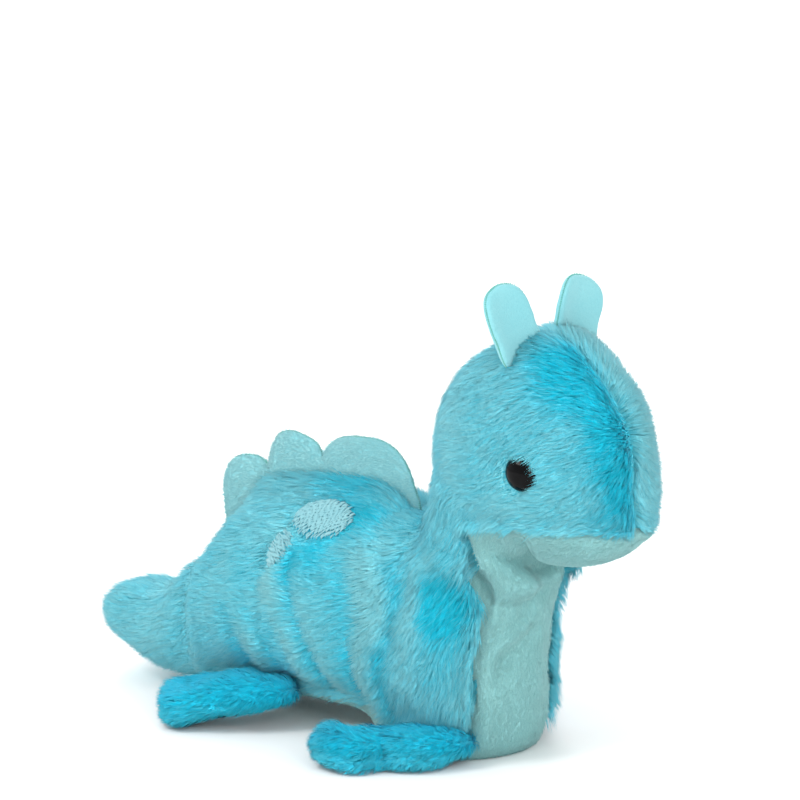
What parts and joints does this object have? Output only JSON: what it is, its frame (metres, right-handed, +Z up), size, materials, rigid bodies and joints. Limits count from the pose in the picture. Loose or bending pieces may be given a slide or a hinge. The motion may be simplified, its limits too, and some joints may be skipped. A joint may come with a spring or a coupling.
{
  "type": "stuffed dinosaur",
  "caption": "Small plush long-necked dinosaur lying on its belly, with paddle flippers, a scalloped back crest, soft horns and button eyes.",
  "frame": {"origin": "on the ground, under the middle of the toy's bounding box", "axes": "+X towards the nose, +Y towards the animal's left side, +Z up"},
  "size_m": [0.1635, 0.0934, 0.1188],
  "materials": {
    "body_fur": "long-pile faux fur, cyan blue",
    "flipper_fur": "long-pile faux fur, bright cyan",
    "pale_cloth": "short-pile velvety fabric, pale aqua",
    "crest_cloth": "short-pile fabric, stitched edge",
    "embroidery": "satin fill stitch, pale blue",
    "eye": "polished black",
    "washer": "moulded, off-white",
    "stuffing": "loose polyester fibre",
    "pouch_cloth": "plain woven lining",
    "pellets": "small plastic pellets"
  },
  "bodies": {
    "torso": {"belly_panel": "pale_cloth", "torso_skin_left": "body_fur", "torso_skin_right": "body_fur", "torso_fill": "stuffing", "pellet_pouch": "pouch_cloth", "pellets": "pellets", "spot_large_left": "embroidery", "spot_large_right": "embroidery", "spot_small_left": "embroidery", "spot_small_right": "embroidery"},
    "neck": {"throat_panel": "pale_cloth", "neck_skin_left": "body_fur", "neck_skin_right": "body_fur", "neck_fill": "stuffing"},
    "head": {"chin_panel": "pale_cloth", "head_skin_left": "body_fur", "head_skin_right": "body_fur", "head_fill": "stuffing", "eye_left": "eye", "eye_right": "eye", "eye_washer_left": "washer", "eye_washer_right": "washer"},
    "tail": {"tail_skin_left": "body_fur", "tail_skin_right": "body_fur", "tail_fill": "stuffing"},
    "crest": {"crest_left_layer": "crest_cloth", "crest_right_layer": "crest_cloth"},
    "horn_left": {"horn_left_front": "crest_cloth", "horn_left_back": "crest_cloth"},
    "horn_right": {"horn_right_front": "crest_cloth", "horn_right_back": "crest_cloth"},
    "front_flipper_left": {"front_flipper_left_upper": "flipper_fur", "front_flipper_left_lower": "flipper_fur", "front_flipper_left_fill": "stuffing"},
    "front_flipper_right": {"front_flipper_right_upper": "flipper_fur", "front_flipper_right_lower": "flipper_fur", "front_flipper_right_fill": "stuffing"},
    "rear_flipper_left": {"rear_flipper_left_upper": "flipper_fur", "rear_flipper_left_lower": "flipper_fur", "rear_flipper_left_fill": "stuffing"},
    "rear_flipper_right": {"rear_flipper_right_upper": "flipper_fur", "rear_flipper_right_lower": "flipper_fur", "rear_flipper_right_fill": "stuffing"}
  },
  "joints": [
    {"name": "neck_turn", "type": "hinge", "parent": "torso", "child": "neck", "pos_m": [0.032, 0, 0.042], "axis": [0.6, 0, 0.8], "range_deg": [-20, 20], "stiffness_Nm_per_rad": 0.03},
    {"name": "head_nod", "type": "hinge", "parent": "neck", "child": "head", "pos_m": [0.036, 0, 0.059], "axis": [0, 1, 0], "range_deg": [-8, 12]},
    {"name": "tail_swing", "type": "hinge", "parent": "torso", "child": "tail", "pos_m": [-0.052, 0, 0.02], "axis": [0, 0, 1], "range_deg": [-20, 20], "stiffness_Nm_per_rad": 0.01},
    {"name": "crest_flop", "type": "hinge", "parent": "torso", "child": "crest", "pos_m": [-0.018, 0, 0.0525], "axis": [0.9824, 0, 0.1867], "range_deg": [-15, 15], "stiffness_Nm_per_rad": 0.004},
    {"name": "horn_left_flex", "type": "hinge", "parent": "head", "child": "horn_left", "pos_m": [0.0503, 0.0112, 0.1064], "axis": [0, 0.9613, -0.2756], "range_deg": [-15, 15], "stiffness_Nm_per_rad": 0.002},
    {"name": "front_flipper_left_flap", "type": "hinge", "parent": "torso", "child": "front_flipper_left", "pos_m": [0.024, 0.0244, 0.0098], "axis": [0.995, -0.1, 0], "range_deg": [0, 30]},
    {"name": "rear_flipper_left_flap", "type": "hinge", "parent": "torso", "child": "rear_flipper_left", "pos_m": [-0.02, 0.0234, 0.0136], "axis": [1, 0, 0], "range_deg": [0, 30]},
    {"name": "horn_right_flex", "type": "hinge", "parent": "head", "child": "horn_right", "pos_m": [0.0503, -0.0112, 0.1064], "axis": [0, 0.9613, 0.2756], "range_deg": [-15, 15], "stiffness_Nm_per_rad": 0.002},
    {"name": "front_flipper_right_flap", "type": "hinge", "parent": "torso", "child": "front_flipper_right", "pos_m": [0.035, -0.0224, 0.0098], "axis": [-0.8713, -0.4907, 0], "range_deg": [0, 30]},
    {"name": "rear_flipper_right_flap", "type": "hinge", "parent": "torso", "child": "rear_flipper_right", "pos_m": [-0.02, -0.0234, 0.0136], "axis": [-1, 0, 0], "range_deg": [0, 30]}
  ]
}
